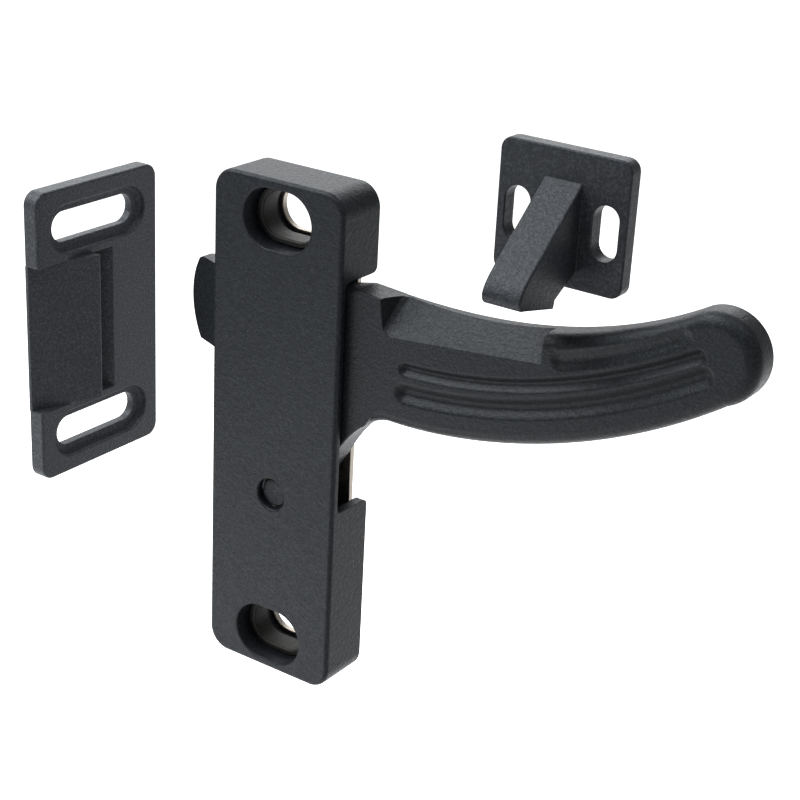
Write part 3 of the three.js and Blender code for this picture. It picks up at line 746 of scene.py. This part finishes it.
def make_lever():
    """The lever casting with facet, grooves, thumb hollow, bevelled nose and spring pocket."""
    place = (0, 0, PIVOT.z)
    body = slab("lever_casting", fixed_outline(lever_core()), LEVER_FRONT, LEVER_BACK,
                front_edge=CORE_EDGE, back_edge=CORE_EDGE, place=place)
    handle = slab("handle", fixed_outline(lever_handle()), LEVER_FRONT, LEVER_BACK,
                  front_edge=HANDLE_FRONT_EDGE, back_edge=HANDLE_BACK_EDGE, place=place)
    combine(body, [handle], "UNION")
    wedge = [[(x, y, z) for x, y in NOSE_WEDGE] for z in (20.0, 60.0)]
    nose_bevel = loft("nose_bevel", wedge, place)
    radius, floor = SPRING_POCKET_RADIUS, SPRING_POCKET_FLOOR
    pocket = turned("spring_pocket", [(radius, floor), (radius, 0.0)], place)
    leg_slot = box("leg_slot", LEG_SLOT_LEFT, LEG_SLOT_RIGHT, floor + 0.02, 0.0,
                   PIVOT.z, PIVOT.z + LEG_SLOT_RISE)
    radius = BUSH_BORE_RADIUS
    bore = turned("bore", [(radius, LEVER_FRONT - 1), (radius, LEVER_BACK + 1)], place)
    radius = SPRING_PIN_RADIUS
    pin_hole = turned("pin_hole", [(radius, floor - 1.6), (radius, 0.0)],
                      (SPRING_PIN_X, 0, PIVOT.z + SPRING_PIN_RISE), 32)
    upper = ((36, 42.2), (59, 42.6), (84, 50), (108, 64.4))
    lower = ((36, 36.2), (61, 37.2), (86, 45.2), (109.5, 60.2))
    hollow = ((76, 55), (86, 58), (95, 62.3), (104, 67.6))
    grooves = [
        groove_cutter("upper_groove", upper, 2.1, 1.3),
        groove_cutter("lower_groove", lower, 3.0, 1.5),
        groove_cutter("thumb_hollow", hollow, 2.8, 0.8),
    ]
    cuts = [facet_cutter(), nose_bevel, pocket, leg_slot, bore, pin_hole]
    combine(body, cuts + grooves, "DIFFERENCE")
    finish_mesh(body, LEVER_COAT)
    stands_for(body, "lever", "lever")


# ------------------------------------------------------------------ keepers

STRIKE_THICKNESS = 4.4
STRIKE_CORNER = 3.6
RAMP_CREST_Y, RAMP_CREST, RAMP_FOOT = -2.2, 7.3, 0.9
POCKET_FLOOR, POCKET_FAR_Y, POCKET_FOOT = 0.8, 5.0, 2.8
POCKET_HALF = 19.5
STRIKE_SLOT_Z = 27.8
STRIKE_RECESS_SIZE, STRIKE_SLOT_SIZE, STRIKE_RECESS_DEPTH = (34.2, 12.8), (28.8, 7.8), 1.9
CATCH_CORNER = 2.8
CATCH_FLANGE_FRONT = -4.0
CATCH_EDGE = 0.5
HOOK_HALF_WIDTH = 4.8
CATCH_SLOT_SIZE, CATCH_SLOT_X, CATCH_SLOT_DROP = (12.4, 6.3), 10.95, 1.3


def make_strike():
    """The strike plate: dished slots, ramp with a crest, pocket with a sloping far wall."""
    middle = (STRIKE_LOW + STRIKE_HIGH) / 2
    back = STRIKE_LOW.x
    width = STRIKE_HIGH.y - STRIKE_LOW.y
    height = STRIKE_HIGH.z - STRIKE_LOW.z
    crest_y, crest, far_y = RAMP_CREST_Y, RAMP_CREST, POCKET_FAR_Y
    face = back + STRIKE_THICKNESS
    above = STRIKE_THICKNESS + 3
    place = (0, middle.y, middle.z)
    body = slab("strike_casting", lambda inset: rounded_rect(width, height, STRIKE_CORNER, inset),
                back, face, to_yz, front_edge=0.3, back_edge=0.6, place=place)

    def along_z(section):
        """The two end outlines of a bar through (x, y) points as long as the pocket."""
        return [[(back + x, middle.y + y, middle.z + z) for x, y in section]
                for z in (-POCKET_HALF, POCKET_HALF)]

    section = [(above, -width), (POCKET_FLOOR, -width), (POCKET_FLOOR, far_y - POCKET_FOOT),
               (STRIKE_THICKNESS, far_y), (above, far_y)]
    combine(body, [loft("pocket", along_z(section))], "DIFFERENCE")
    near = -width / 2
    profile = [(near, 0.0), (near, RAMP_FOOT), (crest_y - 0.8, crest - 0.12)]
    profile += quadratic((crest_y - 0.8, crest - 0.12), (crest_y, crest), (crest_y, crest - 0.8), 5)
    profile += [(crest_y, 0.0)]
    combine(body, [loft("ramp", along_z([(x, y) for y, x in profile]))], "UNION")
    cuts = []
    step = face - STRIKE_RECESS_DEPTH
    for z in (STRIKE_SLOT_Z, -STRIKE_SLOT_Z):
        at = (0, middle.y, middle.z + z)
        cuts.append(cutter_slot("recess", STRIKE_RECESS_SIZE, face, step, to_yz,
                                rim=0.3, dish=1.2, place=at))
        cuts.append(cutter_slot("through", STRIKE_SLOT_SIZE, step, back - 1, to_yz,
                                rim=0.5, place=at))
    combine(body, cuts, "DIFFERENCE")
    # The strike's coat is painted lighter than the case's coat, standing in for light.
    finish_mesh(body, STRIKE_COAT_PAINTED_LIGHTER)
    stands_for(body, "strike_plate", "strike")


def hook_outline(flange_front, reach):
    """Side outline of the hook in Y and Z about the catch's middle height."""
    root = flange_front + 1
    front = flange_front - reach
    points = [(root, 9.2), (front + 4.2, -7.2)]
    points += quadratic((front + 4.2, -7.2), (front + 0.4, -10.4), (front, -12.6), 12)
    points += quadratic((front, -12.6), (front, -14.8), (front + 2.2, -14.9), 8)
    points += [(flange_front - 8, -17.6), (flange_front - 7.6, -15.7), (flange_front, -11.4),
               (root, -11.4)]
    return points


def make_catch():
    """The catch block: slotted flange with the sloping hook in front."""
    width = CATCH_HIGH.x - CATCH_LOW.x
    height = CATCH_HIGH.z - CATCH_LOW.z
    flange_front = CATCH_FLANGE_FRONT
    place = ((CATCH_LOW.x + CATCH_HIGH.x) / 2, 0, CATCH_HIGH.z - height / 2)
    body = slab("catch_casting", lambda inset: rounded_rect(width, height, CATCH_CORNER, inset),
                flange_front, 0.0, front_edge=CATCH_EDGE, back_edge=0.25, place=place)
    hook = slab("hook", fixed_outline(hook_outline(flange_front, flange_front - CATCH_LOW.y)),
                -HOOK_HALF_WIDTH, HOOK_HALF_WIDTH, to_yz,
                front_edge=CATCH_EDGE, back_edge=CATCH_EDGE, place=place)
    combine(body, [hook], "UNION")
    cuts = []
    for x in (-CATCH_SLOT_X, CATCH_SLOT_X):
        cut = cutter_slot("catch_slot", CATCH_SLOT_SIZE, flange_front, 1.0, rim=0.3)
        cut.data.transform(Matrix.Rotation(math.pi / 2, 4, "Y"))
        middle = Vector((place[0] + x, 0, place[2] - CATCH_SLOT_DROP))
        cut.data.transform(Matrix.Translation(middle * MM))
        cuts.append(cut)
    combine(body, cuts, "DIFFERENCE")
    # The catch's coat is painted lighter than the case's coat, standing in for light.
    finish_mesh(body, CATCH_COAT_PAINTED_LIGHTER)
    stands_for(body, "catch_block", "catch")


# ------------------------------------------------------------------ CAD nodes that stay

def dress_nodes():
    """Materials and softened edges for the small CAD pieces that keep their shape."""
    finishes = {
        "front_washer": PIN_STEEL, "rear_washer": PIN_STEEL, "pivot_clip": PIN_STEEL,
        "spring_anchor_pin": PIN_STEEL, "lever_spring_pin": PIN_STEEL, "pivot_bush": BRONZE,
        "rest_bumper": RUBBER, "open_bumper": RUBBER,
    }
    for number in (1, 2, 3, 4):
        finishes[f"plate_screw_{number}"] = PIN_STEEL
    for name, material in finishes.items():
        node = frame["nodes"][name]
        node.data.materials.clear()
        node.data.materials.append(material)
        soft = node.modifiers.new("soft_edges", "BEVEL")
        soft.width = 0.08 * MM
        soft.segments = 2
        soft.limit_method = "ANGLE"
        soft.angle_limit = math.radians(35)
        soft.harden_normals = True


make_housing()
make_back_plate()
make_slot_insert("upper_slot_insert", SLOT_HEIGHT)
make_slot_insert("lower_slot_insert", -SLOT_HEIGHT)
make_pivot_pin()
make_spring()
make_lever()
make_strike()
make_catch()
dress_nodes()


# ------------------------------------------------------------------ studio

FLOOR_HALF, FLOOR_DROP, FLOOR_GLOW = 30.0, -0.42, 0.5
ROOM_GLOW = 0.6


def area_light(name, place, target, size, power):
    """A soft box aimed at target; lengths in metres."""
    light = bpy.data.lights.new(name, "AREA")
    light.shape = "RECTANGLE"
    light.size, light.size_y = size
    light.energy = power
    obj = new_object(name, light)
    obj.location = place
    obj.rotation_mode = "QUATERNION"
    obj.rotation_quaternion = (Vector(target) - Vector(place)).to_track_quat("-Z", "Y")


def make_studio():
    """Pale floor well below the pieces, a pale room, and soft boxes above and at floor level."""
    floor_mesh = bpy.data.meshes.new("floor")
    half, drop = FLOOR_HALF, FLOOR_DROP
    corners = [(-half, -half, drop), (half, -half, drop), (half, half, drop), (-half, half, drop)]
    floor_mesh.from_pydata(corners, [], [(0, 1, 2, 3)])
    floor = new_object("floor", floor_mesh)
    shader = Shader("pale_floor")
    shade = shader.mix(shader.noise(0.004, 2.0), (0.86, 0.86, 0.86), (0.9, 0.9, 0.9))
    shader.join(shade, shader.surface.inputs["Base Color"])
    shader.surface.inputs["Roughness"].default_value = 0.9
    shader.surface.inputs["Emission Color"].default_value = (1.0, 1.0, 1.0, 1.0)
    shader.surface.inputs["Emission Strength"].default_value = FLOOR_GLOW
    floor_mesh.materials.append(shader.material)
    world = bpy.data.worlds.new("pale_room")
    world.use_nodes = True
    background = world.node_tree.nodes["Background"]
    background.inputs["Color"].default_value = (1.0, 1.0, 1.0, 1.0)
    background.inputs["Strength"].default_value = ROOM_GLOW
    bpy.context.scene.world = world
    centre = (0.03, 0.0, 0.0)
    area_light("back_box", (-0.62, 0.92, 0.65), centre, (1.3, 0.7), 13.0)
    area_light("top_box", (0.35, -0.1, 1.1), centre, (0.8, 0.8), 8.0)
    area_light("left_box", (-0.62, -0.42, 0.92), centre, (0.8, 0.8), 38.0)
    glow = drop + 0.01
    area_light("front_bounce", (-0.33, -0.5, glow), (-0.33, -0.5, 0.0), (0.35, 0.35), 3.2)
    area_light("side_bounce", (0.55, 0.83, glow), (0.55, 0.83, 0.0), (0.7, 0.7), 1.2)
    bpy.context.scene.view_settings.view_transform = "Standard"


def make_camera():
    """The view from the right, above and in front of the case."""
    azimuth, elevation, roll = math.radians(33.89), math.radians(22.69), math.radians(3.04)
    target = Vector((37.2, FRONT, 20.5)) * MM
    distance = 411.6 * MM
    data = bpy.data.cameras.new("camera")
    data.sensor_width = 36.0
    data.lens = 80.69
    data.clip_start, data.clip_end = 0.01, 50.0
    camera = new_object("camera", data)
    level_reach = math.cos(elevation)
    back = Vector((math.sin(azimuth) * level_reach, -math.cos(azimuth) * level_reach,
                   math.sin(elevation)))
    camera.location = target + back * distance
    camera.rotation_mode = "QUATERNION"
    level = (-back).to_track_quat("-Z", "Y").to_matrix()
    camera.rotation_quaternion = (level @ Matrix.Rotation(roll, 3, "Z")).to_quaternion()
    bpy.context.scene.camera = camera


make_studio()
make_camera()
